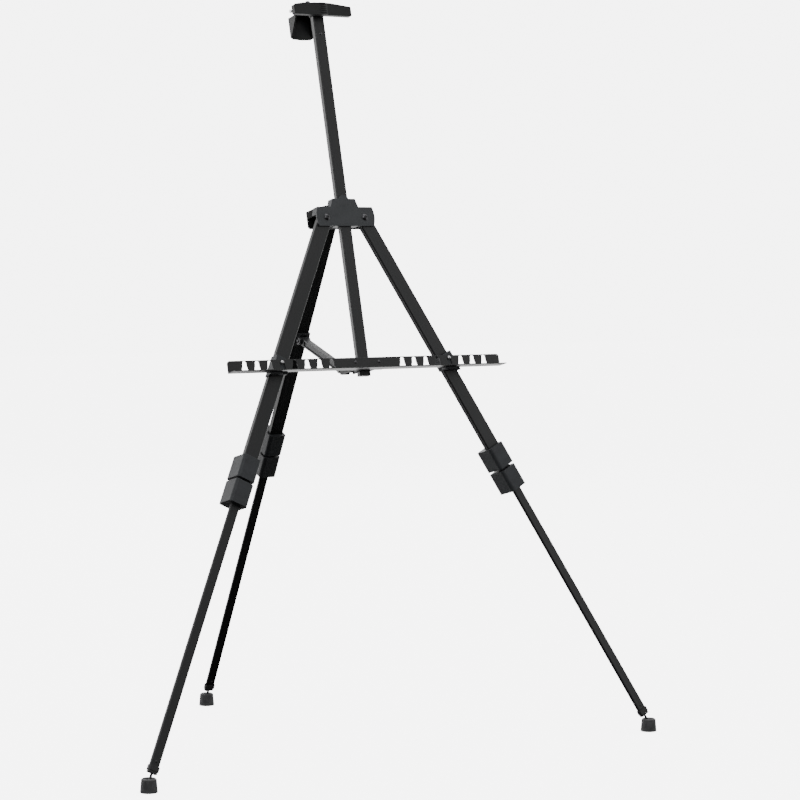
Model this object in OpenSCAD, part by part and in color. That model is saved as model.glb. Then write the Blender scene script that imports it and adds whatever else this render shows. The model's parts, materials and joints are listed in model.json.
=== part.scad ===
// Folding tripod easel with a sliding mast, a spring canvas clamp, a hook-on
// tray rail and three telescoping legs. Units are millimetres, +Z is up, the
// floor is z = 0 and the origin lies midway between the front feet and the rear
// foot. The front faces -Y, and every part is drawn in the standing, locked pose.

/* [Stance] */
// Height of the front-leg pivots above the floor
pivot_height = 832; // [700:1:900]
// Backward lean of the mast and of the two front legs, degrees
lean = 13.5; // [10:0.5:16]
// Sideways splay of each front leg, degrees
splay = 27; // [22:0.5:29]
// Angle between the rear leg and the mast, degrees
rear_spread = 39.34; // [36:0.01:42]

/* [Mast] */
// Width of the mast tube
mast_w = 20; // [18:0.5:22]
// Depth of the mast tube
mast_d = 10; // [9:0.5:10]
// Mast tube top above the pivots
mast_top = 330; // [250:1:400]
// Mast tube bottom below the pivots
mast_bottom = 251; // [247:1:253]

/* [Leg tubes] */
// Width of the upper leg tubes
upper_w = 24; // [23:0.5:24.5]
// Depth of the upper leg tubes
upper_d = 10.4; // [10:0.1:10.6]
// Width of the middle leg tubes
middle_w = 21; // [20:0.5:21.5]
// Depth of the middle leg tubes
middle_d = 8.2; // [7.8:0.1:8.4]
// Width of the lower leg tubes
lower_w = 15.6; // [14:0.2:17]
// Depth of the lower leg tubes
lower_d = 5.8; // [5:0.1:6]
// Wall of every leg tube
tube_wall = 0.8; // [0.6:0.1:0.8]

/* [Flip locks] */
// Distance from the pivot to the top of the front legs' upper lock
front_lock_at = 421; // [380:1:440]
// Distance from the hinge to the top of the rear leg's upper lock
rear_lock_at = 381; // [350:1:400]
// Length of each lock body along the leg
lock_len = 37; // [36:1:40]
// Gap between the two lock bodies of a leg
lock_gap = 4; // [3.5:0.5:8]

/* [Tray] */
// Length of the tray rail
tray_len = 508; // [480:2:560]
// Height of the rail's upright flange above its shelf
flange_h = 18.2; // [18:0.2:20]
// Depth of the rail's shelf
shelf_d = 20; // [18:0.5:30]
// Top of the flange below the pivots
tray_drop = 226.8; // [226:0.2:227.4]
// Number of bell-shaped holes on each side
hole_count = 8; // [8:1:8]
// Spacing of the bell-shaped holes
hole_pitch = 22.5; // [22:0.1:23]
// Distance of the first hole from the middle of the rail
first_hole = 66; // [65:0.5:67]

/* [Canvas clamp] */
// Length of the clamp bar
clamp_len = 107; // [90:1:140]
// Width of the thumb lever
thumb_w = 42; // [34:1:44]

/* [Feet] */
// Diameter of the foot pads at the floor
pad_base = 26; // [24:1:34]
// Diameter of the foot pads at the top
pad_top = 22; // [21:0.5:24]
// Height of the foot pads
pad_h = 21; // [20:0.5:24]

/* [Hidden] */
$fn = 64;
gap = 0.05;
// hub
hub_front = 8;
hub_plate = 2.4;
hub_split = mast_d/2 + gap;
hub_back = 27;
hub_half = 51;
hub_low = 14.5;
hub_shoulder = 16.5;
hub_core = 21.5;
hub_inner = 48.6;
pivot_half = 35.5;
pivot_bolt_d = 6;
plug_round = 12.6;
hinge_back = 41;
hinge_up = 2.2;
ear_in = 12.4;
ear_out = 16.4;
lock_stud_up = 21;
screw_x = 18.9;
screw_up = 8;
// legs
tube_r = 1.8;
leg_top = 4;
rear_top = 6;
ball_height = 15;
middle_start = 20;
lock_w = 31;
lock_front = 12;
lock_back = 26;
lock_round = 5;
sleeve = 14;
lever_axis_y = 18;
lever_axis_up = 15;
lever_half = 10.3;
lever_skin = 7.8;
hub_r = 4.6;
cam_r = 12.5;
cam_half = 7.3;
front_reach = (pivot_height - ball_height)/(cos(lean)*cos(splay));
rear_hinge_z = pivot_height + hinge_up*cos(lean) - hinge_back*sin(lean);
rear_lean = rear_spread - lean;
rear_reach = (rear_hinge_z - ball_height)/cos(rear_lean);
front_foot_y = -(pivot_height - ball_height)*tan(lean);
rear_foot_y = hinge_back*cos(lean) + hinge_up*sin(lean) + rear_reach*sin(rear_lean);
hub_y = -(front_foot_y + rear_foot_y)/2;
plug_above_ball = 14;
plug_flange = 11;
lower_start_from_lock = 22;
// tray
flange_t = 1.5;
flange_rear = 13;
flange_rivet_x = 21.7;
flange_rivet_down = 7.2;
ledge_down = 3.5;
tray_floor = tray_drop + flange_h;
hole_r = 3.6;
hole_up = tray_drop + 4.3;
hole_flare = 5.5;
peg_x = first_hole + 4*hole_pitch;
peg_r = 2.4;
plate_t = 2.5;
// brace
brace_at = 205;
brace_off = 11.7;
brace_half = 6;
brace_pin_r = 2.5;
brace_tip_y = 52;
brace_tip_drop = 236;
// canvas clamp
clamp_pin_y = 36;
clamp_pin_z = mast_top + 19;
clamp_pin_r = 2;
knuckle_r = 5;
roof_t = 2.4;
rivet_down = 29;
bar_front = 20;
bar_peak = 17;
lever_screw_y = 21.5;

// ---------- frames ----------

// Mast frame: x across, y backwards, z up the mast, origin between the pivots.
module mast_frame() {
    translate([0, hub_y, pivot_height])
        rotate([-lean, 0, 0])
            children();
}

// Leg frames: the leg runs down local -z from its pivot.
module front_leg_frame(side) {
    mast_frame()
        translate([side*pivot_half, 0, 0])
            rotate([0, -side*splay, 0])
                children();
}

module rear_leg_frame() {
    mast_frame()
        translate([0, hinge_back, hinge_up])
            rotate([rear_spread, 0, 0])
                children();
}

// ---------- shapes ----------

module soft_rect(w, d, r) {
    square([w - 2*r, d], center = true);
    square([w, d - 2*r], center = true);
    for (sx = [-1, 1], sy = [-1, 1])
        translate([sx*(w/2 - r), sy*(d/2 - r)])
            circle(r = r);
}

// Bar of rounded section between two heights.
module soft_bar(w, d, r, z0, z1) {
    translate([0, 0, z0])
        linear_extrude(z1 - z0)
            soft_rect(w, d, r);
}

module tube(w, d, r, wall, z0, z1) {
    difference() {
        soft_bar(w, d, r, z0, z1);
        soft_bar(w - 2*wall, d - 2*wall, r - wall, z0 - 1, z1 + 1);
    }
}

// Cylinder along y from y0 to y1.
module rod_y(r, y0, y1) {
    translate([0, y0, 0])
        rotate([-90, 0, 0])
            cylinder(r = r, h = y1 - y0);
}

// Cylinder along x from x0 to x1.
module rod_x(r, x0, x1) {
    translate([x0, 0, 0])
        rotate([0, 90, 0])
            cylinder(r = r, h = x1 - x0);
}

// Outline in the x-z plane pushed along y.
module face_xz(y0, y1) {
    translate([0, y1, 0])
        rotate([90, 0, 0])
            linear_extrude(y1 - y0)
                children();
}

// Outline in the y-z plane pushed along x.
module side_yz(x0, x1) {
    translate([x0, 0, 0])
        rotate([90, 0, 90])
            linear_extrude(x1 - x0)
                children();
}

// Low domed head along z, base at z = 0.
module dome(r, h) {
    ball = (r*r + h*h)/(2*h);
    intersection() {
        translate([0, 0, h - ball])
            sphere(r = ball);
        cylinder(r = r, h = h + 1);
    }
}

// ---------- hub ----------

module hub_face() {
    bulge_r = 36;
    bulge = 3.4;
    translate([-hub_half, -hub_low])
        square([2*hub_half, hub_low + hub_shoulder]);
    intersection() {
        translate([-60, -hub_low])
            square([120, hub_low + hub_shoulder]);
        for (s = [-1, 1])
            translate([s*(hub_half + bulge - bulge_r), 1])
                circle(r = bulge_r);
    }
    polygon([[-26, hub_shoulder - 1], [26, hub_shoulder - 1], [21, 29.7], [-21, 29.7]]);
    translate([0, 26])
        circle(r = 9.6);
}

// Room for the two leg tops and their outward swing.
module leg_wells(y0, y1) {
    for (s = [-1, 1])
        mirror([s < 0 ? 1 : 0, 0, 0]) {
            translate([hub_core, y0, -30])
                cube([hub_inner - hub_core, y1 - y0, 30 + hub_shoulder - hub_plate]);
            translate([hub_core, y0, -30])
                cube([60, y1 - y0, 34]);
        }
}

module hub_front_shell() {
    color([0.17, 0.175, 0.18])
        mast_frame()
            difference() {
                face_xz(-hub_front, hub_split)
                    hub_face();
                leg_wells(-hub_front + hub_plate, hub_split + 1);
                translate([-mast_w/2 - gap, -mast_d/2 - gap, -40])
                    cube([mast_w + 2*gap, mast_d + 2, 90]);
                for (s = [-1, 1]) {
                    translate([s*pivot_half, 0, 0])
                        rod_y(pivot_bolt_d/2 + gap, -20, 20);
                    for (u = [-1, 1])
                        translate([s*screw_x, 0, u*screw_up])
                            rod_y(1.5 + gap, -4, 20);
                }
            }
}

module hub_rear_shell() {
    low = 11.5;
    top = 20;
    color([0.15, 0.155, 0.16])
        mast_frame()
            difference() {
                union() {
                    face_xz(hub_split, hub_back)
                        polygon([[-hub_half, -low + 3], [-hub_half + 3, -low], [hub_half - 3, -low],
                            [hub_half, -low + 3], [hub_half, top - 4], [26, top + 2],
                            [-26, top + 2], [-hub_half, top - 4]]);
                    translate([0, 0, lock_stud_up])
                        rod_y(7.5, hub_split, hub_back + 2);
                    for (s = [-1, 1])
                        translate([s > 0 ? ear_in : -ear_out, 0, 0])
                            side_yz(0, ear_out - ear_in) {
                                translate([hinge_back, hinge_up])
                                    circle(r = 9.5);
                                translate([hub_back - 1, hinge_up - 9.5])
                                    square([hinge_back - hub_back + 1, 19]);
                            }
                }
                leg_wells(hub_split - 1, hub_back - hub_plate);
                for (s = [-1, 1]) {
                    translate([s*pivot_half, 0, 0])
                        rod_y(pivot_bolt_d/2 + gap, 0, 40);
                    for (u = [-1, 1])
                        translate([s*screw_x, 0, u*screw_up]) {
                            rod_y(1.5 + gap, 0, 40);
                            rod_y(2.3 + gap, hub_back - 2, 40);
                        }
                }
                translate([0, hinge_back, hinge_up])
                    rod_x(3 + gap, -20, 20);
                translate([0, 0, lock_stud_up]) {
                    rod_y(3 + gap, 0, 40);
                    rod_y(5 + gap, 0, hub_split + 3);
                }
            }
}

module front_pivot_bolts() {
    color([0.30, 0.30, 0.31])
        mast_frame()
            for (s = [-1, 1])
                translate([s*pivot_half, 0, 0]) {
                    rod_y(pivot_bolt_d/2, -hub_front, hub_back + 6);
                    translate([0, -hub_front, 0])
                        rotate([90, 0, 0])
                            difference() {
                                dome(5.6, 2.8);
                                translate([0, 0, 1.4])
                                    cylinder(r = 2, h = 4, $fn = 6);
                            }
                }
}

module front_pivot_nuts() {
    color([0.32, 0.32, 0.33])
        mast_frame()
            for (s = [-1, 1])
                translate([s*pivot_half, hub_back, 0])
                    difference() {
                        rotate([-90, 0, 0])
                            cylinder(r = 5.6, h = 5, $fn = 6);
                        rod_y(pivot_bolt_d/2 + gap, -1, 7);
                    }
}

module rear_hinge_pin() {
    color([0.32, 0.32, 0.33])
        mast_frame()
            translate([0, hinge_back, hinge_up]) {
                rod_x(3, -ear_out - 1, ear_out + 1);
                for (s = [-1, 1])
                    translate([s*ear_out, 0, 0])
                        rotate([0, s*90, 0])
                            dome(5, 2.4);
            }
}

module hub_shell_screws() {
    color([0.34, 0.34, 0.35])
        mast_frame()
            for (s = [-1, 1], u = [-1, 1])
                translate([s*screw_x, 0, u*screw_up]) {
                    rod_y(1.5, -3.9, hub_back - 1);
                    difference() {
                        rod_y(2.3, hub_back - 2, hub_back - 0.2);
                        rod_y(1.1, hub_back - 1, hub_back + 1);
                    }
                }
}

module mast_lock_knob() {
    color([0.13, 0.13, 0.135])
        mast_frame()
            translate([0, 0, lock_stud_up])
                difference() {
                    union() {
                        rod_y(5, hub_back + 3, hub_back + 5);
                        rod_y(8, hub_back + 5, hub_back + 15);
                    }
                    for (k = [0:7])
                        rotate([0, k*45, 0])
                            translate([8.9, 0, 0])
                                rod_y(2, hub_back + 4, hub_back + 16);
                    rod_y(3 + 0.01, 0, hub_back + 12);
                }
}

module mast_lock_stud() {
    color([0.45, 0.45, 0.46])
        mast_frame()
            translate([0, 0, lock_stud_up])
                rod_y(3, hub_split + 2.6, hub_back + 12);
}

module mast_pressure_pad() {
    color([0.2, 0.2, 0.2])
        mast_frame()
            translate([0, 0, lock_stud_up])
                rod_y(5, hub_split + 0.02, hub_split + 2.5);
}

// ---------- mast and canvas clamp ----------

module mast_tube() {
    color([0.12, 0.12, 0.125])
        mast_frame()
            difference() {
                tube(mast_w, mast_d, tube_r, 1, -mast_bottom, mast_top);
                translate([0, 0, mast_top - rivet_down])
                    rod_y(1.6 + gap, -20, 20);
            }
}

module mast_end_plug() {
    color([0.10, 0.10, 0.10])
        mast_frame() {
            soft_bar(mast_w, mast_d, tube_r, -mast_bottom - 3, -mast_bottom);
            soft_bar(mast_w - 2 - 2*gap, mast_d - 2 - 2*gap, 0.7, -mast_bottom, -mast_bottom + 12);
        }
}

module clamp_housing() {
    color([0.16, 0.165, 0.17])
        mast_frame()
            difference() {
                union() {
                    soft_bar(mast_w - 2 - 2*gap, mast_d - 2 - 2*gap, 0.7, mast_top - 45, mast_top);
                    soft_bar(24, 13, 3, mast_top, mast_top + 14);
                    side_yz(-6, 6) {
                        polygon([[5, mast_top + 13], [5, mast_top + 8], [14, mast_top + 14.5],
                            [20, mast_top + 16], [clamp_pin_y, mast_top + 16],
                            [clamp_pin_y, mast_top + 23], [14, mast_top + 21],
                            [-5, mast_top + 14], [-5, mast_top + 13]]);
                        translate([clamp_pin_y, clamp_pin_z])
                            circle(r = knuckle_r);
                    }
                }
                translate([0, 0, mast_top - rivet_down])
                    rod_y(1.6 + gap, -20, 20);
                translate([0, clamp_pin_y, clamp_pin_z])
                    rod_x(clamp_pin_r + gap, -10, 10);
            }
}

module clamp_housing_rivet() {
    color([0.5, 0.5, 0.5])
        mast_frame()
            translate([0, 0, mast_top - rivet_down]) {
                rod_y(1.6, -mast_d/2, mast_d/2);
                for (s = [-1, 1])
                    translate([0, s*mast_d/2, 0])
                        rotate([-s*90, 0, 0])
                            dome(2.6, 1);
            }
}

// The arm's top drops forwards so that it lies level on a leaning mast.
function arm_rise(y) = mast_top + bar_peak + tan(lean)*(y + bar_front);

module at_clamp_screw() {
    translate([0, lever_screw_y, arm_rise(lever_screw_y)])
        rotate([lean, 0, 0])
            children();
}

module canvas_clamp_bar() {
    low = mast_top - 3.3;
    half = clamp_len/2;
    color([0.15, 0.155, 0.16])
        mast_frame()
            difference() {
                union() {
                    face_xz(-bar_front, -12)
                        polygon([[-half + 1.5, low], [half - 1.5, low], [half, low + 1.5],
                            [half, mast_top + 11.5], [half - 1.5, mast_top + 12.8],
                            [14, mast_top + bar_peak], [-14, mast_top + bar_peak],
                            [-half + 1.5, mast_top + 12.3], [-half, mast_top + 11], [-half, low + 1.5]]);
                    intersection() {
                        translate([0, 0, low])
                            cylinder(r = 22, h = 20.2);
                        translate([-16, -24, low])
                            cube([32, 12, 20.2]);
                    }
                    side_yz(-8.5, 8.5)
                        polygon([[-19, arm_rise(-19)], [-19, arm_rise(-19) - 5], [-12, arm_rise(-19) - 5],
                            [-10, arm_rise(-10) - 3.4], [28, arm_rise(28) - 3.4],
                            [28, arm_rise(28)]]);
                }
                for (k = [0:4])
                    translate([-17, -23.2, low + 2.4 + k*3.4])
                        cube([34, 2.2, 1.5]);
                at_clamp_screw()
                    translate([0, 0, -9])
                        cylinder(r = 2 + gap, h = 18);
            }
}

module thumb_outline(half, low, side_top, peak) {
    polygon([[-half, side_top], [-half, low + 4], [-half + 4, low + 1], [0, low],
        [half - 4, low + 1], [half, low + 4], [half, side_top], [8, peak], [-8, peak]]);
}

module clamp_thumb_lever() {
    low = mast_top - 24;
    side_top = mast_top + 12;
    peak = mast_top + 14.8;
    wall = 2.2;
    rear = 51.6;
    hood_front = 30;
    color([0.13, 0.135, 0.14])
        mast_frame()
            difference() {
                union() {
                    face_xz(rear - wall, rear)
                        thumb_outline(thumb_w/2, low, side_top, peak);
                    difference() {
                        face_xz(hood_front, rear - 1)
                            thumb_outline(thumb_w/2, low, side_top, peak);
                        face_xz(hood_front - 1, rear - 1)
                            thumb_outline(thumb_w/2 - wall, low - 9, side_top - wall + 0.4, peak - wall);
                        side_yz(-30, 30)
                            polygon([[hood_front - 1, side_top - 3], [hood_front - 1, low - 9],
                                [rear - 1, low - 9], [rear - wall, low + 2]]);
                        translate([-9, hood_front - 1, side_top - 4])
                            cube([18, clamp_pin_y - hood_front - 1, 12]);
                    }
                    for (s = [-1, 1])
                        translate([s > 0 ? 9.4 : -12.8, 0, 0])
                            side_yz(0, 3.4) {
                                translate([clamp_pin_y, clamp_pin_z])
                                    circle(r = 5.4);
                                polygon([[clamp_pin_y - 1, mast_top + 12], [clamp_pin_y + 9, mast_top + 12],
                                    [clamp_pin_y + 5, clamp_pin_z + 2], [clamp_pin_y - 1, clamp_pin_z + 5]]);
                                polygon([[clamp_pin_y + 3, clamp_pin_z - 3], [clamp_pin_y + 4, arm_rise(40) + 1],
                                    [15, arm_rise(15) + 2.6], [15, arm_rise(15) + 0.05],
                                    [28.5, arm_rise(28.5) + 0.05], [30.5, clamp_pin_z]]);
                            }
                    side_yz(-12.8, 12.8)
                        polygon([[15, arm_rise(15) + gap], [40, arm_rise(40) + gap],
                            [40, arm_rise(40) + roof_t], [15, arm_rise(15) + roof_t]]);
                }
                translate([0, clamp_pin_y, clamp_pin_z]) {
                    rod_x(clamp_pin_r + gap, -20, 20);
                    rod_x(knuckle_r + 0.4, -9, 9);
                }
                at_clamp_screw()
                    translate([0, 0, -9])
                        cylinder(r = 2 + gap, h = 18);
            }
}

module clamp_lever_screw() {
    color([0.6, 0.6, 0.6])
        mast_frame()
            at_clamp_screw() {
                translate([0, 0, -3])
                    cylinder(r = 2, h = 3 + roof_t);
                translate([0, 0, roof_t])
                    dome(4.6, 3.4);
            }
}

module clamp_pin() {
    color([0.5, 0.5, 0.5])
        mast_frame()
            translate([0, clamp_pin_y, clamp_pin_z]) {
                rod_x(clamp_pin_r, -thumb_w/2 - 4, thumb_w/2 + 4);
                for (s = [-1, 1])
                    translate([s > 0 ? thumb_w/2 + 2.5 : -thumb_w/2 - 4.5, 0, 0])
                        rod_x(2.8, 0, 2);
            }
}

module clamp_spring() {
    wire = 0.6;
    coil = 3;
    color([0.62, 0.62, 0.6])
        mast_frame()
            for (s = [-1, 1])
                translate([s*7.8, clamp_pin_y, clamp_pin_z]) {
                    rotate([0, 90, 0])
                        rotate_extrude()
                            for (k = [-0.8, 0, 0.8])
                                translate([coil, k])
                                    circle(r = wire);
                    translate([0, 0, -coil])
                        rotate([90, 0, 0])
                            cylinder(r = wire - gap, h = 14);
                }
}

// ---------- legs ----------

// Tops of the two leg kinds, then everything below is shared.
module top_plug_front() {
    difference() {
        union() {
            soft_bar(upper_w - 2*tube_wall - 2*gap, upper_d - 2*tube_wall - 2*gap, 0.9, -18, leg_top + 0.02);
            intersection() {
                rod_y(plug_round, -upper_d/2, upper_d/2);
                translate([-20, -20, leg_top])
                    cube([40, 40, 20]);
            }
        }
        rod_y(pivot_bolt_d/2 + gap, -20, 20);
    }
}

module top_plug_rear() {
    difference() {
        union() {
            soft_bar(upper_w - 2*tube_wall - 2*gap, upper_d - 2*tube_wall - 2*gap, 0.9, -18, rear_top + 0.02);
            soft_bar(upper_w, upper_d - 2, tube_r, rear_top, rear_top + 1.6);
        }
        rod_x(3 + gap, -20, 20);
    }
}

module upper_tube(top, lock_at) {
    difference() {
        tube(upper_w, upper_d, tube_r, tube_wall, -lock_at - sleeve, top);
        if (top == leg_top)
            rod_y(pivot_bolt_d/2 + gap, -20, 20);
        else
            rod_x(3 + gap, -20, 20);
    }
}

// Flip-lock body: a sleeve on the outer tube's end, a close bore for the next
// tube, and a slot behind for the cam lever.
module lock_body(at, outer_w, outer_d, inner_w, inner_d) {
    depth = lock_front + lock_back;
    axis_z = -at - lock_len + lever_axis_up;
    difference() {
        translate([0, (lock_back - lock_front)/2, 0])
            soft_bar(lock_w, depth, lock_round, -at - lock_len, -at);
        soft_bar(outer_w + 2*gap, outer_d + 2*gap, tube_r, -at - sleeve, -at + 1);
        soft_bar(inner_w + 2*gap, inner_d + 2*gap, tube_r, -at - lock_len - 1, -at);
        translate([-lever_half - 0.3, lever_axis_y - 2.8, -at - lock_len + 1.6])
            cube([2*lever_half + 0.6, 20, lock_len - 3.2]);
        translate([0, lever_axis_y, axis_z])
            rod_x(hub_r + 0.2, -lever_half - 0.3, lever_half + 0.3);
        translate([-cam_half - 0.3, 0, axis_z - cam_r - 0.6])
            cube([2*cam_half + 0.6, lever_axis_y + 1, 2*cam_r + 3.2]);
        translate([0, lever_axis_y, axis_z])
            rod_x(2.2 + gap, -20, 20);
    }
}

// Cam lever lying in the slot; its trunnions turn in the lock body's cheeks.
module lock_lever(at, inner_d) {
    axis_z = -at - lock_len + lever_axis_up;
    reach = lever_axis_y - inner_d/2 - gap - 0.1;
    translate([0, lever_axis_y, axis_z]) {
        rod_x(2.2, -lock_w/2, lock_w/2);
        intersection() {
            translate([0, cam_r - reach, 0])
                rod_x(cam_r, -cam_half, cam_half);
            translate([-20, -20, -20])
                cube([40, 20 + lever_skin, 40]);
        }
        intersection() {
            rod_x(hub_r, -lever_half, lever_half);
            translate([-20, -2.4, -20])
                cube([40, 40, 40]);
        }
        translate([-lever_half, 1.8, 0])
            cube([2*lever_half, lever_skin - 1.8, lock_len - lever_axis_up - 2.2]);
        translate([-lever_half, lever_skin - 2, lock_len - lever_axis_up - 7])
            cube([2*lever_half, 3.6, 4.8]);
    }
}

module middle_tube(lock_at) {
    at2 = lock_at + lock_len + lock_gap;
    tube(middle_w, middle_d, tube_r, tube_wall, -at2 - sleeve, -middle_start);
}

module lower_tube(lock_at, reach) {
    at2 = lock_at + lock_len + lock_gap;
    difference() {
        tube(lower_w, lower_d, tube_r, tube_wall, -reach + plug_above_ball + plug_flange,
            -at2 + lower_start_from_lock);
        translate([0, 0, -reach + plug_above_ball + plug_flange + 7])
            rod_y(1.2 + gap, -20, 20);
    }
}

// End plug with a ball on a short neck, pinned in the tube by a small rivet.
module foot_stud(reach) {
    shoulder = -reach + plug_above_ball;
    seat = shoulder + plug_flange;
    soft_bar(lower_w - 2*tube_wall - 2*gap, lower_d - 2*tube_wall - 2*gap, 0.9, seat, seat + 16);
    soft_bar(lower_w + 2, lower_d + 3, 2, shoulder + 3.5, seat);
    soft_bar(lower_w, lower_d + 2, 2, shoulder, shoulder + 3.5);
    translate([0, 0, -reach + 3])
        cylinder(r = 1.9, h = plug_above_ball - 2.5);
    translate([0, 0, -reach])
        sphere(r = 4.6);
    translate([0, 0, seat + 7]) {
        rod_y(1.2, -lower_d/2 - 0.2, lower_d/2 + 0.2);
        for (s = [-1, 1])
            translate([0, s*lower_d/2, 0])
                rotate([-s*90, 0, 0])
                    dome(2, 0.8);
    }
}

// Pad standing upright on the floor around the ball.
module foot_pad() {
    difference() {
        translate([0, 0, -ball_height])
            rotate_extrude()
                polygon([[0, 0], [pad_base/2 - 0.8, 0], [pad_base/2, 0.8], [pad_top/2 + 0.4, pad_h - 1.6],
                    [pad_top/2 - 1.4, pad_h], [0, pad_h]]);
        sphere(r = 4.6 + gap);
        rotate_extrude()
            polygon([[0, 0], [4.2, 2], [8.8, pad_h - ball_height], [8.8, 12], [0, 12]]);
    }
}

tube_black = [0.12, 0.12, 0.125];
plastic_grey = [0.20, 0.205, 0.21];
lever_grey = [0.17, 0.175, 0.18];
plug_black = [0.10, 0.10, 0.10];
pad_rubber = [0.15, 0.15, 0.15];

module front_top_plug(side) { color(plug_black) front_leg_frame(side) top_plug_front(); }
module front_upper_tube(side) { color(tube_black) front_leg_frame(side) upper_tube(leg_top, front_lock_at); }
module front_upper_lock(side) {
    color(plastic_grey)
        front_leg_frame(side)
            lock_body(front_lock_at, upper_w, upper_d, middle_w, middle_d);
}
module front_upper_lever(side) { color(lever_grey) front_leg_frame(side) lock_lever(front_lock_at, middle_d); }
module front_middle_tube(side) { color(tube_black) front_leg_frame(side) middle_tube(front_lock_at); }
module front_lower_lock(side) {
    color(plastic_grey)
        front_leg_frame(side)
            lock_body(front_lock_at + lock_len + lock_gap, middle_w, middle_d, lower_w, lower_d);
}
module front_lower_lever(side) {
    color(lever_grey)
        front_leg_frame(side)
            lock_lever(front_lock_at + lock_len + lock_gap, lower_d);
}
module front_lower_tube(side) { color(tube_black) front_leg_frame(side) lower_tube(front_lock_at, front_reach); }
module front_foot_stud(side) { color(plug_black) front_leg_frame(side) foot_stud(front_reach); }
module front_foot_pad(side) {
    color(pad_rubber)
        translate([side*(pivot_half + front_reach*sin(splay)), hub_y + front_foot_y, ball_height])
            foot_pad();
}

module left_top_plug() { front_top_plug(-1); }
module left_upper_tube() { front_upper_tube(-1); }
module left_upper_lock() { front_upper_lock(-1); }
module left_upper_lever() { front_upper_lever(-1); }
module left_middle_tube() { front_middle_tube(-1); }
module left_lower_lock() { front_lower_lock(-1); }
module left_lower_lever() { front_lower_lever(-1); }
module left_lower_tube() { front_lower_tube(-1); }
module left_foot_stud() { front_foot_stud(-1); }
module left_foot_pad() { front_foot_pad(-1); }

module right_top_plug() { front_top_plug(1); }
module right_upper_tube() { front_upper_tube(1); }
module right_upper_lock() { front_upper_lock(1); }
module right_upper_lever() { front_upper_lever(1); }
module right_middle_tube() { front_middle_tube(1); }
module right_lower_lock() { front_lower_lock(1); }
module right_lower_lever() { front_lower_lever(1); }
module right_lower_tube() { front_lower_tube(1); }
module right_foot_stud() { front_foot_stud(1); }
module right_foot_pad() { front_foot_pad(1); }

module rear_top_plug() { color(plug_black) rear_leg_frame() top_plug_rear(); }
module rear_upper_tube() { color(tube_black) rear_leg_frame() upper_tube(rear_top, rear_lock_at); }
module rear_upper_lock() {
    color(plastic_grey)
        rear_leg_frame()
            lock_body(rear_lock_at, upper_w, upper_d, middle_w, middle_d);
}
module rear_upper_lever() { color(lever_grey) rear_leg_frame() lock_lever(rear_lock_at, middle_d); }
module rear_middle_tube() { color(tube_black) rear_leg_frame() middle_tube(rear_lock_at); }
module rear_lower_lock() {
    color(plastic_grey)
        rear_leg_frame()
            lock_body(rear_lock_at + lock_len + lock_gap, middle_w, middle_d, lower_w, lower_d);
}
module rear_lower_lever() {
    color(lever_grey)
        rear_leg_frame()
            lock_lever(rear_lock_at + lock_len + lock_gap, lower_d);
}
module rear_lower_tube() { color(tube_black) rear_leg_frame() lower_tube(rear_lock_at, rear_reach); }
module rear_foot_stud() { color(plug_black) rear_leg_frame() foot_stud(rear_reach); }
module rear_foot_pad() {
    color(pad_rubber)
        translate([0, hub_y + rear_foot_y, ball_height])
            foot_pad();
}

// ---------- tray ----------

// Bell-shaped cut-out, narrow at the top.
module bell_hole() {
    circle(r = hole_r);
    polygon([[-hole_r, 0], [hole_r, 0], [hole_r + 0.6, -5.5], [hole_flare, -9.5],
        [hole_flare, -12.2], [-hole_flare, -12.2], [-hole_flare, -9.5], [-hole_r - 0.6, -5.5]]);
}

module flange_outline() {
    corner = 5;
    half = tray_len/2;
    difference() {
        union() {
            translate([-half, -tray_floor - flange_t])
                square([tray_len, flange_h + flange_t - corner]);
            translate([-half + corner, -tray_drop - corner])
                square([tray_len - 2*corner, corner]);
            for (s = [-1, 1])
                translate([s*(half - corner), -tray_drop - corner])
                    circle(r = corner);
        }
        for (s = [-1, 1], k = [0:hole_count - 1])
            translate([s*(first_hole + k*hole_pitch), -hole_up])
                bell_hole();
        for (s = [-1, 1])
            translate([s*flange_rivet_x, -tray_drop - flange_rivet_down])
                circle(r = 1.6 + gap);
    }
}

module tray_rail() {
    color([0.13, 0.13, 0.135])
        mast_frame() {
            face_xz(-flange_rear - flange_t, -flange_rear)
                flange_outline();
            translate([-tray_len/2, -flange_rear - shelf_d, -tray_floor - flange_t])
                cube([tray_len, shelf_d - 0.5, flange_t]);
        }
}

module tray_centre_bracket() {
    front = -flange_rear + gap;
    low = tray_floor + flange_t + 0.1;
    arm_in = mast_w/2 + 0.3;
    arm_out = arm_in + 3;
    hook_front = brace_tip_y - 5;
    hook_rear = brace_tip_y + 5;
    hook_roof = brace_tip_drop - brace_pin_r - 0.3;
    hook_low = brace_tip_drop + 6;
    color([0.14, 0.145, 0.15])
        mast_frame()
            difference() {
                union() {
                    translate([-27, front, -low])
                        cube([54, plate_t, low - tray_drop - 0.4]);
                    for (s = [-1, 1])
                        translate([s > 0 ? arm_in : -arm_out, 0, 0])
                            side_yz(0, arm_out - arm_in)
                                polygon([[front, -tray_drop - 0.4], [front, -low], [6, -low],
                                    [10, -hook_low], [hook_front, -hook_low],
                                    [hook_front, -hook_roof], [hook_rear, -hook_roof],
                                    [hook_rear, -hook_roof + 2.8], [-4, -hook_roof + 2.8]]);
                }
                for (s = [-1, 1])
                    translate([s*flange_rivet_x, 0, -tray_drop - flange_rivet_down])
                        rod_y(1.6 + gap, -20, 0);
            }
}

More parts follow.
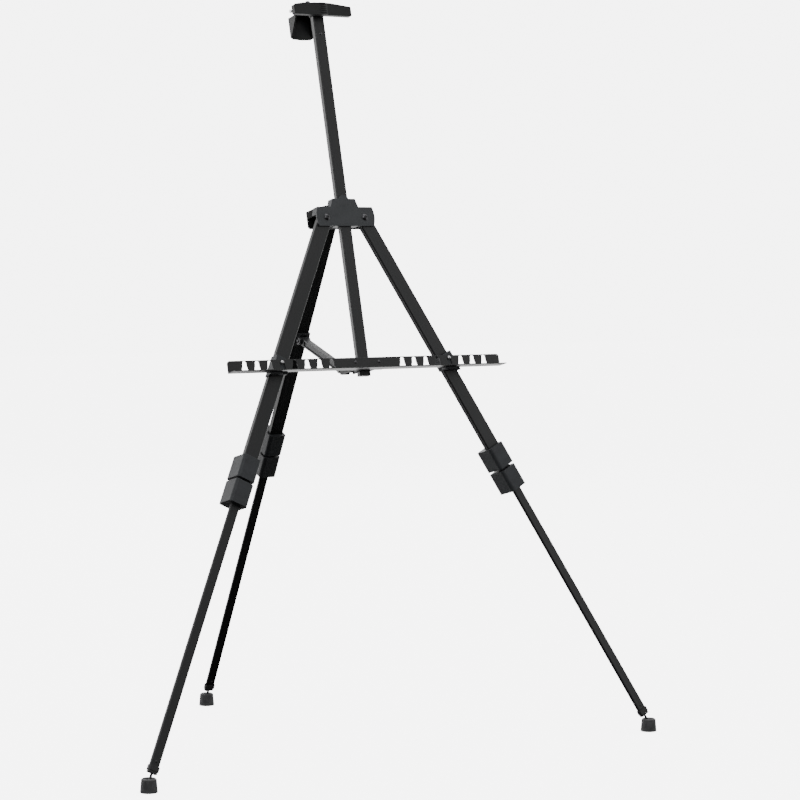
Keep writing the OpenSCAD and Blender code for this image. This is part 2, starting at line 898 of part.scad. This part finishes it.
module tray_rivets() {
    color([0.45, 0.45, 0.45])
        mast_frame()
            for (s = [-1, 1])
                translate([s*flange_rivet_x, 0, -tray_drop - flange_rivet_down]) {
                    rod_y(1.6, -flange_rear - flange_t, -flange_rear + gap + plate_t);
                    translate([0, -flange_rear - flange_t, 0])
                        rotate([90, 0, 0])
                            dome(2.6, 1.1);
                    translate([0, -flange_rear + gap + plate_t, 0])
                        rotate([-90, 0, 0])
                            dome(2.4, 0.8);
                }
}

// Saddle on the front leg behind the flange, with a ledge under the shelf. The
// same moulding serves both legs, so the ledge is offset to the same hand.
module tray_bracket(side) {
    top_at = 252;
    low = tray_floor + flange_t + 0.1 + ledge_down;
    front = flange_rear - gap;
    ledge_x = side*(pivot_half + 250*tan(splay)) - 9.5;
    color(plastic_grey)
        difference() {
            union() {
                intersection() {
                    front_leg_frame(side)
                        translate([0, (6.6 - front)/2, 0])
                            soft_bar(upper_w + 2.6, front + 6.6, 1.2, -top_at - 60, -top_at);
                    mast_frame()
                        translate([-400, -40, -low])
                            cube([800, 80, 60]);
                }
                mast_frame()
                    translate([ledge_x - 11, -flange_rear - 8, -low])
                        cube([22, 8 + 4, ledge_down]);
            }
            front_leg_frame(side)
                soft_bar(upper_w + 2*gap, upper_d + 2*gap, tube_r, -top_at - 80, -top_at + 1);
            mast_frame()
                translate([side*peg_x, 0, -hole_up])
                    rod_y(peg_r + gap, -flange_rear - 1, -upper_d/2);
        }
}

module left_tray_bracket() { tray_bracket(-1); }
module right_tray_bracket() { tray_bracket(1); }

// Peg set in the saddle: it stands in the narrow top of a bell hole.
module tray_peg(side) {
    nose = -flange_rear - flange_t - 0.6;
    color([0.5, 0.5, 0.5])
        mast_frame()
            translate([side*peg_x, 0, -hole_up]) {
                rod_y(peg_r, nose, -upper_d/2 - 0.1);
                translate([0, nose, 0])
                    rotate([90, 0, 0])
                        dome(3.25, 2.2);
            }
}

module left_tray_peg() { tray_peg(-1); }
module right_tray_peg() { tray_peg(1); }

// ---------- brace ----------

// Clip round the rear leg with two cheeks for the brace pin. The slot between
// them is open below, where the arm lies when folded.
module brace_leg_bracket() {
    color(plastic_grey)
        rear_leg_frame()
            translate([0, 0, -brace_at])
                difference() {
                    union() {
                        translate([0, -0.6, 0])
                            soft_bar(upper_w + 3, upper_d + 5, 2, -11, 11);
                        for (s = [-1, 1])
                            translate([s > 0 ? 6.4 : -10.4, 0, 0])
                                side_yz(0, 4) {
                                    translate([-brace_off, 0])
                                        circle(r = 6);
                                    translate([-brace_off, -6])
                                        square([brace_off - 5.5, 12]);
                                }
                    }
                    soft_bar(upper_w + 2*gap, upper_d + 2*gap, tube_r, -20, 20);
                    translate([0, -brace_off, 0])
                        rod_x(brace_pin_r + gap, -20, 20);
                    translate([-brace_half - 0.3, -brace_off - 8, -12])
                        cube([2*brace_half + 0.6, 8 + brace_off - upper_d/2 - 0.2, 20]);
                }
}

rear_pin_y = hinge_back + brace_at*sin(rear_spread) - brace_off*cos(rear_spread);
rear_pin_z = hinge_up - brace_at*cos(rear_spread) - brace_off*sin(rear_spread);
brace_dy = brace_tip_y - rear_pin_y;
brace_dz = -brace_tip_drop - rear_pin_z;
brace_len = sqrt(brace_dy*brace_dy + brace_dz*brace_dz);
brace_angle = atan2(brace_dz, brace_dy);

module brace_arm() {
    color([0.16, 0.165, 0.17])
        mast_frame()
            translate([0, rear_pin_y, rear_pin_z])
                rotate([brace_angle, 0, 0])
                    difference() {
                        union() {
                            side_yz(-brace_half, brace_half) {
                                circle(r = 6);
                                translate([0, -5.6])
                                    square([brace_len, 11.2]);
                                translate([brace_len, 0])
                                    circle(r = 5.6);
                            }
                            translate([0, brace_len, 0])
                                rod_x(brace_pin_r, -mast_w/2 - 3.2, mast_w/2 + 3.2);
                        }
                        rod_x(brace_pin_r + gap, -20, 20);
                        for (s = [-1, 1])
                            translate([s*(brace_half + 1), 12, -3.4])
                                translate([-2.8, 0, 0])
                                    cube([5.6, brace_len - 24, 6.8]);
                    }
}

module brace_pin() {
    color([0.5, 0.5, 0.5])
        rear_leg_frame()
            translate([0, -brace_off, -brace_at]) {
                rod_x(brace_pin_r, -11, 11);
                for (s = [-1, 1])
                    translate([s*10.5, 0, 0])
                        rotate([0, s*90, 0])
                            dome(3.2, 1.4);
            }
}

// ---------- nodes ----------

hub_front_shell();
hub_rear_shell();
front_pivot_bolts();
front_pivot_nuts();
rear_hinge_pin();
hub_shell_screws();
mast_lock_knob();
mast_lock_stud();
mast_pressure_pad();
mast_tube();
mast_end_plug();
clamp_housing();
clamp_housing_rivet();
canvas_clamp_bar();
clamp_thumb_lever();
clamp_lever_screw();
clamp_pin();
clamp_spring();
left_top_plug();
left_upper_tube();
left_upper_lock();
left_upper_lever();
left_middle_tube();
left_lower_lock();
left_lower_lever();
left_lower_tube();
left_foot_stud();
left_foot_pad();
right_top_plug();
right_upper_tube();
right_upper_lock();
right_upper_lever();
right_middle_tube();
right_lower_lock();
right_lower_lever();
right_lower_tube();
right_foot_stud();
right_foot_pad();
rear_top_plug();
rear_upper_tube();
rear_upper_lock();
rear_upper_lever();
rear_middle_tube();
rear_lower_lock();
rear_lower_lever();
rear_lower_tube();
rear_foot_stud();
rear_foot_pad();
tray_rail();
tray_centre_bracket();
tray_rivets();
left_tray_bracket();
right_tray_bracket();
left_tray_peg();
right_tray_peg();
brace_leg_bracket();
brace_arm();
brace_pin();
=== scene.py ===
"""Looks for a folding tripod easel: satin black tubes, charcoal mouldings, steel
fasteners and rubber feet, on a pale floor in soft studio light. Metres, +Z up."""
import json
import math

import bmesh
import bpy
from mathutils import Matrix, Vector


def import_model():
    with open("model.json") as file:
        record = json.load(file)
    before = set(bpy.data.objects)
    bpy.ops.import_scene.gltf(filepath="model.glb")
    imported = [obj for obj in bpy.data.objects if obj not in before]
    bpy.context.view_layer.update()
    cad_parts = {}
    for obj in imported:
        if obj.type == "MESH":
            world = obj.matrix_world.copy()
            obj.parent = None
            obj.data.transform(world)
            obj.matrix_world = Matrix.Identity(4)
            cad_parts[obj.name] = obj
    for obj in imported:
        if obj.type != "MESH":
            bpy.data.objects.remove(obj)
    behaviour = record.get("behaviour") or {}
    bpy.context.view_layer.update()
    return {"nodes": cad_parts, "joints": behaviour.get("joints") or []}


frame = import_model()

NODES = frame["nodes"]
JOINTS = {j["name"]: j for j in frame["joints"]}
SIDES = ("left", "right", "rear")


# ---------- frames taken from the joints ----------

def joint_point(name):
    return Vector(JOINTS[name]["pos_m"])


def joint_axis(name):
    return Vector(JOINTS[name]["axis"]).normalized()


UP_MAST = joint_axis("mast_slide")
BACK_MAST = joint_axis("front_right_fold")
ACROSS = BACK_MAST.cross(UP_MAST).normalized()
HUB_AT = (joint_point("front_left_fold") + joint_point("front_right_fold")) / 2


def basis(x, y, z, origin):
    m = Matrix((x, y, z)).transposed().to_4x4()
    m.translation = origin
    return m


MAST = basis(ACROSS, BACK_MAST, UP_MAST, HUB_AT)


LEG_PIVOTS = {"left": "front_left_fold", "right": "front_right_fold", "rear": "rear_leg_fold"}


def leg_basis(side):
    """Leg frame: z up the leg, x across it, origin at its pivot."""
    z = -joint_axis(side + "_middle_slide")
    x = -joint_axis(side + "_upper_lever_flip")
    return basis(x, z.cross(x), z, joint_point(LEG_PIVOTS[side]))


LEGS = {s: leg_basis(s) for s in SIDES}


# ---------- materials ----------

PLAIN = Matrix.Identity(4)
EVEN = (1, 1, 1)
BEVEL_SAMPLES = 4


def scaled(color, factor):
    return tuple(c * factor for c in color)


class Graph:
    """One material's node tree, with short ways to add nodes and link them."""

    def __init__(self, name):
        self.mat = bpy.data.materials.new(name)
        self.mat.use_nodes = True
        self.tree = self.mat.node_tree
        self.tree.nodes.clear()
        self.out = self.add("ShaderNodeOutputMaterial")

    def add(self, kind, **values):
        node = self.tree.nodes.new(kind)
        for key, value in values.items():
            if hasattr(node, key):
                setattr(node, key, value)
            else:
                node.inputs[key.replace("_", " ")].default_value = value
        return node

    def link(self, a, b):
        self.tree.links.new(a, b)

    def coords(self, matrix, scale):
        """Object coordinates turned into the given frame, then scaled."""
        tex = self.add("ShaderNodeTexCoord")
        turned = self.add("ShaderNodeMapping")
        turned.vector_type = "TEXTURE"
        turned.inputs["Rotation"].default_value = matrix.to_euler()
        turned.inputs["Location"].default_value = matrix.translation
        self.link(tex.outputs["Object"], turned.inputs["Vector"])
        sized = self.add("ShaderNodeMapping")
        sized.inputs["Scale"].default_value = scale
        self.link(turned.outputs["Vector"], sized.inputs["Vector"])
        return sized.outputs["Vector"]

    def noise(self, vector, scale, detail=3.0, rough=0.55):
        n = self.add("ShaderNodeTexNoise")
        n.inputs["Scale"].default_value = scale
        n.inputs["Detail"].default_value = detail
        n.inputs["Roughness"].default_value = rough
        self.link(vector, n.inputs["Vector"])
        return n.outputs["Fac"]

    def ramp(self, fac, low, high, a, b):
        r = self.add("ShaderNodeMapRange")
        r.inputs["From Min"].default_value = low
        r.inputs["From Max"].default_value = high
        r.inputs["To Min"].default_value = a
        r.inputs["To Max"].default_value = b
        self.link(fac, r.inputs["Value"])
        return r.outputs["Result"]

    def edge_mask(self, radius):
        """0 on flat faces, rising towards 1 on convex and concave edges."""
        bevel = self.add("ShaderNodeBevel")
        bevel.samples = BEVEL_SAMPLES
        bevel.inputs["Radius"].default_value = radius
        geo = self.add("ShaderNodeNewGeometry")
        dot = self.add("ShaderNodeVectorMath", operation="DOT_PRODUCT")
        self.link(bevel.outputs["Normal"], dot.inputs[0])
        self.link(geo.outputs["Normal"], dot.inputs[1])
        return self.ramp(dot.outputs["Value"], 1.0, 0.86, 0.0, 1.0)

    def mix(self, fac, a, b):
        m = self.add("ShaderNodeMix", data_type="RGBA")
        self.link(fac, m.inputs["Factor"])
        m.inputs[6].default_value = (*a, 1)
        m.inputs[7].default_value = (*b, 1)
        return m.outputs[2]

    def blend(self, fac, a, b):
        m = self.add("ShaderNodeMix", data_type="RGBA")
        self.link(fac, m.inputs["Factor"])
        self.link(a, m.inputs[6])
        m.inputs[7].default_value = (*b, 1)
        return m.outputs[2]

    def product(self, a, b):
        m = self.add("ShaderNodeMath", operation="MULTIPLY")
        self.link(a, m.inputs[0])
        self.link(b, m.inputs[1])
        return m.outputs[0]


def finish_material(g, color, rough, height, strength, distance, edge_radius, **shader):
    """Shader with the given colour and roughness, a bump from height and softened edges."""
    p = g.add("ShaderNodeBsdfPrincipled")
    for key, value in shader.items():
        p.inputs[key.replace("_", " ")].default_value = value
    g.link(color, p.inputs["Base Color"])
    g.link(rough, p.inputs["Roughness"])
    bevel = g.add("ShaderNodeBevel")
    bevel.samples = BEVEL_SAMPLES
    bevel.inputs["Radius"].default_value = edge_radius
    bump = g.add("ShaderNodeBump")
    bump.inputs["Strength"].default_value = strength
    bump.inputs["Distance"].default_value = distance
    g.link(height, bump.inputs["Height"])
    g.link(bevel.outputs["Normal"], bump.inputs["Normal"])
    g.link(bump.outputs["Normal"], p.inputs["Normal"])
    g.link(p.outputs["BSDF"], g.out.inputs["Surface"])
    return g.mat


def anodised(name, matrix, tone, sheen=0.5):
    """Black anodised extrusion: fine draw lines along the tube, soft mottling, worn edges."""
    g = Graph(name)
    lines = g.noise(g.coords(matrix, (900, 900, 6)), 1.0, 4.0, 0.7)
    mottle = g.noise(g.coords(matrix, (22, 22, 7)), 1.0, 3.0)
    scratches = g.noise(g.coords(matrix, (160, 160, 60)), 1.0, 5.0, 0.7)
    color = g.mix(g.ramp(mottle, 0.3, 0.7, 0.0, 1.0),
                  scaled(TUBE, tone * 0.86), scaled(TUBE, tone * 1.22))
    scuff = g.ramp(scratches, 0.5, 0.68, 0.0, 0.55)
    color = g.blend(g.product(g.edge_mask(0.0009), scuff), color, WORN_METAL)
    rough = g.ramp(lines, 0.25, 0.75, 0.30, 0.44)
    return finish_material(g, color, rough, lines, 0.25, 0.00004, 0.0005,
                           Metallic=0.0, Specular_IOR_Level=sheen)


def moulded(name, matrix, base, rough_low, rough_high, grain=2200, sheen=0.5):
    """Glass-filled plastic: spark-eroded grain, faint flow marks, and edges lightened in patches
    as a painted highlight.
    """
    g = Graph(name)
    spark = g.noise(g.coords(matrix, EVEN), grain, 4.0, 0.6)
    flow = g.noise(g.coords(matrix, (1, 1, 2)), 38, 3.0)
    color = g.mix(g.ramp(flow, 0.3, 0.72, 0.0, 1.0), scaled(base, 0.88), scaled(base, 1.16))
    # edges lightened in patches towards 2.6x the base colour: a painted highlight
    painted_edge_highlight = g.ramp(flow, 0.42, 0.62, 0.0, 0.5)
    color = g.blend(g.product(g.edge_mask(0.0012), painted_edge_highlight), color, scaled(base, 2.6))
    rough = g.ramp(spark, 0.3, 0.7, rough_low, rough_high)
    return finish_material(g, color, rough, spark, 0.35, 0.00006, 0.0007,
                           Specular_IOR_Level=sheen)


def rubber(name, base):
    """Grey rubber: fine pores and a dusting of lighter bloom."""
    g = Graph(name)
    grain = g.noise(g.coords(PLAIN, EVEN), 1500, 5.0, 0.7)
    dust = g.noise(g.coords(PLAIN, EVEN), 90, 4.0, 0.6)
    color = g.mix(g.ramp(dust, 0.42, 0.75, 0.0, 1.0), base, scaled(base, 1.7))
    rough = g.ramp(dust, 0.3, 0.7, 0.42, 0.62)
    return finish_material(g, color, rough, grain, 0.5, 0.0001, 0.0008, Specular_IOR_Level=0.45)


def steel(name, base, rough_low, rough_high):
    """Plated steel: a machined grain and slight staining."""
    g = Graph(name)
    turned = g.noise(g.coords(PLAIN, EVEN), 1800, 3.0, 0.6)
    stain = g.noise(g.coords(PLAIN, EVEN), 260, 3.0, 0.6)
    color = g.mix(g.ramp(stain, 0.35, 0.7, 0.0, 1.0), base, scaled(base, 0.7))
    rough = g.ramp(turned, 0.3, 0.7, rough_low, rough_high)
    return finish_material(g, color, rough, turned, 0.15, 0.00003, 0.0004, Metallic=1.0)


# base colours, linear
TUBE = (0.0125, 0.013, 0.0138)
WORN_METAL = (0.16, 0.16, 0.165)
CHARCOAL = (0.046, 0.049, 0.053)
HUB_REAR = (0.012, 0.0125, 0.013)
CLAMP = (0.011, 0.0115, 0.012)
BRACE = (0.030, 0.031, 0.033)
KNOB = (0.022, 0.022, 0.023)
LEVER = (0.034, 0.035, 0.038)
PLUG = (0.020, 0.020, 0.021)
RUBBER = (0.058, 0.059, 0.061)
DARK_STEEL = (0.10, 0.10, 0.105)
BRIGHT_STEEL = (0.62, 0.62, 0.63)

# the rear leg is darker (painted shade, as it stands in shade behind the two in front) and duller
# than the two in front
TUBE_PAINTED_SHADE_AND_SHEEN = {"left": (1.0, 0.5), "right": (1.0, 0.5), "rear": (0.45, 0.25)}
LOCK_TONE_AND_PAINTED_SHADE = {"left": 0.9, "right": 0.9, "rear": 0.45}
PLUG_GRAIN = 1400

RAIL = basis(UP_MAST, BACK_MAST, ACROSS, HUB_AT)

MATERIALS = {
    "mast_black": anodised("mast_black", MAST, 1.0),
    "rail_black": anodised("rail_black", RAIL, 1.0),
    "hub_grey": moulded("hub_grey", MAST, CHARCOAL, 0.36, 0.52, sheen=0.36),
    "hub_rear_grey": moulded("hub_rear_grey", MAST, HUB_REAR, 0.55, 0.7, sheen=0.08),
    "clamp_grey": moulded("clamp_grey", MAST, CLAMP, 0.38, 0.54, sheen=0.32),
    "brace_grey": moulded("brace_grey", MAST, BRACE, 0.36, 0.52, sheen=0.4),
    "knob_black": moulded("knob_black", MAST, KNOB, 0.38, 0.55),
    "pad_rubber": rubber("pad_rubber", RUBBER),
    "dark_steel": steel("dark_steel", DARK_STEEL, 0.24, 0.42),
    "bright_steel": steel("bright_steel", BRIGHT_STEEL, 0.18, 0.36),
}
for side in SIDES:
    leg = LEGS[side]
    tube, lock = side + "_black", side + "_lock_grey"
    lever, plug = side + "_lever_grey", side + "_plug_black"
    # the rear leg's tube and lock colours are scaled darker here as painted shade
    lock_color = scaled(CHARCOAL, LOCK_TONE_AND_PAINTED_SHADE[side])
    MATERIALS[tube] = anodised(tube, leg, *TUBE_PAINTED_SHADE_AND_SHEEN[side])
    MATERIALS[lock] = moulded(lock, leg, lock_color, 0.40, 0.56, sheen=0.26)
    MATERIALS[lever] = moulded(lever, leg, LEVER, 0.3, 0.46)
    MATERIALS[plug] = moulded(plug, leg, PLUG, 0.42, 0.6, PLUG_GRAIN)

FINISH = {
    "mast_tube": "mast_black", "tray_rail": "rail_black",
    "hub_front_shell": "hub_grey", "hub_rear_shell": "hub_rear_grey",
    "front_pivot_bolts": "dark_steel", "front_pivot_nuts": "dark_steel",
    "rear_hinge_pin": "dark_steel", "hub_shell_screws": "dark_steel",
    "mast_lock_knob": "knob_black", "mast_lock_stud": "bright_steel",
    "mast_pressure_pad": "pad_rubber", "mast_end_plug": "knob_black",
    "clamp_housing": "clamp_grey", "clamp_housing_rivet": "dark_steel",
    "canvas_clamp_bar": "clamp_grey", "clamp_thumb_lever": "clamp_grey",
    "clamp_lever_screw": "dark_steel", "clamp_pin": "bright_steel",
    "clamp_spring": "bright_steel", "tray_centre_bracket": "clamp_grey",
    "tray_rivets": "dark_steel",
    "left_tray_bracket": "left_lock_grey", "right_tray_bracket": "right_lock_grey",
    "left_tray_peg": "bright_steel", "right_tray_peg": "bright_steel",
    "brace_leg_bracket": "brace_grey",
    "brace_arm": "brace_grey", "brace_pin": "dark_steel",
}
for side in SIDES:
    for part in ("upper_tube", "middle_tube", "lower_tube"):
        FINISH[side + "_" + part] = side + "_black"
    for part in ("upper_lock", "lower_lock"):
        FINISH[side + "_" + part] = side + "_lock_grey"
    for part in ("upper_lever", "lower_lever"):
        FINISH[side + "_" + part] = side + "_lever_grey"
    for part in ("top_plug", "foot_stud"):
        FINISH[side + "_" + part] = side + "_plug_black"
    FINISH[side + "_foot_pad"] = "pad_rubber"

for name, node in NODES.items():
    node.data.materials.clear()
    node.data.materials.append(MATERIALS[FINISH[name]])


# ---------- rounded edges ----------

SHARP_ANGLE = math.radians(40)
EDGE_SEGMENTS = 3
LOCK_EDGE, LEVER_EDGE = 0.0010, 0.0005


def round_edges(name, width):
    """Small real radius on a CAD node's sharp edges."""
    mod = NODES[name].modifiers.new("edge_radius", "BEVEL")
    mod.width = width
    mod.segments = EDGE_SEGMENTS
    mod.limit_method = "ANGLE"
    mod.angle_limit = SHARP_ANGLE
    mod.use_clamp_overlap = True
    mod.harden_normals = False


EDGE_RADII = {"canvas_clamp_bar": 0.0007, "tray_rail": 0.0003, "hub_front_shell": 0.0008}
for side in SIDES:
    for part in ("upper_lock", "lower_lock"):
        EDGE_RADII[side + "_" + part] = LOCK_EDGE
    for part in ("upper_lever", "lower_lever"):
        EDGE_RADII[side + "_" + part] = LEVER_EDGE
for name, width in EDGE_RADII.items():
    round_edges(name, width)


# ---------- room, light and camera ----------

# The camera stands front left of the easel, a little above the tray, and looks slightly down.
VIEW_AZ = math.radians(34.16)
VIEW_DOWN = math.radians(3.17)
FIELD = math.radians(15.95)
EYE = HUB_AT + Vector((-2.4591, -3.7830, -0.0373))
SENSOR_WIDTH = 36.0
CLIP_NEAR, CLIP_FAR = 0.05, 100

# The room is white to the camera. The object feels it dim in front and bright behind.
ROOM_WHITE = 5.5
WALL_LIFT = 0.6
WALL_FRONT, WALL_BACK = 0.20, 1.5
WALL_BLEND_FROM, WALL_BLEND_TO = -0.6, 0.9
FLOOR_FRONT, FLOOR_BACK = 0.05, 2.3
FLOOR_BLEND_FROM, FLOOR_BLEND_TO = 0.28, 0.6
FLOOR_HALF = 14.0
FLOOR_CELLS = 24
FLOOR_PALE, FLOOR_PALER = (0.86, 0.86, 0.86), (0.90, 0.90, 0.90)

# name, (width, height), place, point looked at, watts
LAMPS = (
    ("key_left", (2.6, 3.0), (-2.6, -3.9, 2.8), (0, 0, 0.6), 75),
    ("edge_left_rear", (2.0, 3.2), (-2.6, 3.4, 1.4), (0, 0, 0.7), 60),
    ("top_soft", (3.0, 3.0), (0.4, -0.4, 4.2), (0, 0, 0.5), 46),
    ("fill_right", (1.6, 2.4), (3.4, -2.6, 1.8), (0, 0, 0.6), 9),
    ("fill_back", (2.4, 2.4), (2.0, 4.2, 2.6), (0, 0, 0.6), 45),
)


def area_lamp(name, size, at, look, power):
    data = bpy.data.lights.new(name, "AREA")
    data.shape = "RECTANGLE"
    data.size, data.size_y = size
    data.energy = power
    lamp = bpy.data.objects.new(name, data)
    lamp.location = at
    lamp.rotation_euler = (Vector(look) - Vector(at)).to_track_quat("-Z", "Y").to_euler()
    bpy.context.scene.collection.objects.link(lamp)


def floor():
    """Pale floor. To the camera it melts into the white room; the object feels it dim
    in front and bright behind, as on a paper sweep lit from the back."""
    bm = bmesh.new()
    bmesh.ops.create_grid(bm, x_segments=FLOOR_CELLS, y_segments=FLOOR_CELLS, size=FLOOR_HALF)
    mesh = bpy.data.meshes.new("studio_floor")
    bm.to_mesh(mesh)
    bm.free()
    plane = bpy.data.objects.new("studio_floor", mesh)
    bpy.context.scene.collection.objects.link(plane)
    g = Graph("floor_paint")
    fac = g.noise(g.coords(PLAIN, EVEN), 3.0, 4.0)
    p = g.add("ShaderNodeBsdfPrincipled")
    g.link(g.mix(fac, FLOOR_PALE, FLOOR_PALER), p.inputs["Base Color"])
    p.inputs["Roughness"].default_value = 0.8
    p.inputs["Emission Color"].default_value = (1, 1, 1, 1)
    p.inputs["Emission Strength"].default_value = ROOM_WHITE
    felt = g.add("ShaderNodeEmission")
    place = g.add("ShaderNodeNewGeometry")
    dot = g.add("ShaderNodeVectorMath", operation="DOT_PRODUCT")
    dot.inputs[1].default_value = (math.sin(VIEW_AZ), math.cos(VIEW_AZ), 0.0)
    g.link(place.outputs["Position"], dot.inputs[0])
    depth = g.ramp(dot.outputs["Value"], FLOOR_BLEND_FROM, FLOOR_BLEND_TO, FLOOR_FRONT, FLOOR_BACK)
    g.link(depth, felt.inputs["Strength"])
    path = g.add("ShaderNodeLightPath")
    mix = g.add("ShaderNodeMixShader")
    g.link(path.outputs["Is Camera Ray"], mix.inputs["Fac"])
    g.link(felt.outputs["Emission"], mix.inputs[1])
    g.link(p.outputs["BSDF"], mix.inputs[2])
    g.link(mix.outputs["Shader"], g.out.inputs["Surface"])
    mesh.materials.append(g.mat)


def world():
    """White room to the camera; to the object, bright behind and beside it and dim in front."""
    w = bpy.data.worlds.new("studio")
    bpy.context.scene.world = w
    w.use_nodes = True
    t = w.node_tree
    t.nodes.clear()
    out = t.nodes.new("ShaderNodeOutputWorld")
    seen = t.nodes.new("ShaderNodeBackground")
    seen.inputs["Color"].default_value = (1, 1, 1, 1)
    seen.inputs["Strength"].default_value = ROOM_WHITE + WALL_LIFT
    felt = t.nodes.new("ShaderNodeBackground")
    coord = t.nodes.new("ShaderNodeTexCoord")
    dot = t.nodes.new("ShaderNodeVectorMath")
    dot.operation = "DOT_PRODUCT"
    dot.inputs[1].default_value = (-math.sin(VIEW_AZ), -math.cos(VIEW_AZ), 0.0)
    t.links.new(coord.outputs["Generated"], dot.inputs[0])
    ramp = t.nodes.new("ShaderNodeMapRange")
    ramp.inputs["From Min"].default_value = WALL_BLEND_FROM
    ramp.inputs["From Max"].default_value = WALL_BLEND_TO
    ramp.inputs["To Min"].default_value = WALL_BACK
    ramp.inputs["To Max"].default_value = WALL_FRONT
    t.links.new(dot.outputs["Value"], ramp.inputs["Value"])
    t.links.new(ramp.outputs["Result"], felt.inputs["Strength"])
    path = t.nodes.new("ShaderNodeLightPath")
    mix = t.nodes.new("ShaderNodeMixShader")
    t.links.new(path.outputs["Is Camera Ray"], mix.inputs["Fac"])
    t.links.new(felt.outputs["Background"], mix.inputs[1])
    t.links.new(seen.outputs["Background"], mix.inputs[2])
    t.links.new(mix.outputs["Shader"], out.inputs["Surface"])


def camera():
    data = bpy.data.cameras.new("camera")
    data.sensor_width = SENSOR_WIDTH
    data.lens = data.sensor_width / 2 / math.tan(FIELD / 2)
    cam = bpy.data.objects.new("camera", data)
    cam.location = EYE
    ahead = Vector((math.sin(VIEW_AZ) * math.cos(VIEW_DOWN),
                    math.cos(VIEW_AZ) * math.cos(VIEW_DOWN),
                    -math.sin(VIEW_DOWN)))
    cam.rotation_mode = "QUATERNION"
    cam.rotation_quaternion = ahead.to_track_quat("-Z", "Y")
    data.clip_start, data.clip_end = CLIP_NEAR, CLIP_FAR
    bpy.context.scene.collection.objects.link(cam)
    bpy.context.scene.camera = cam


floor()
world()
camera()
for lamp in LAMPS:
    area_lamp(*lamp)
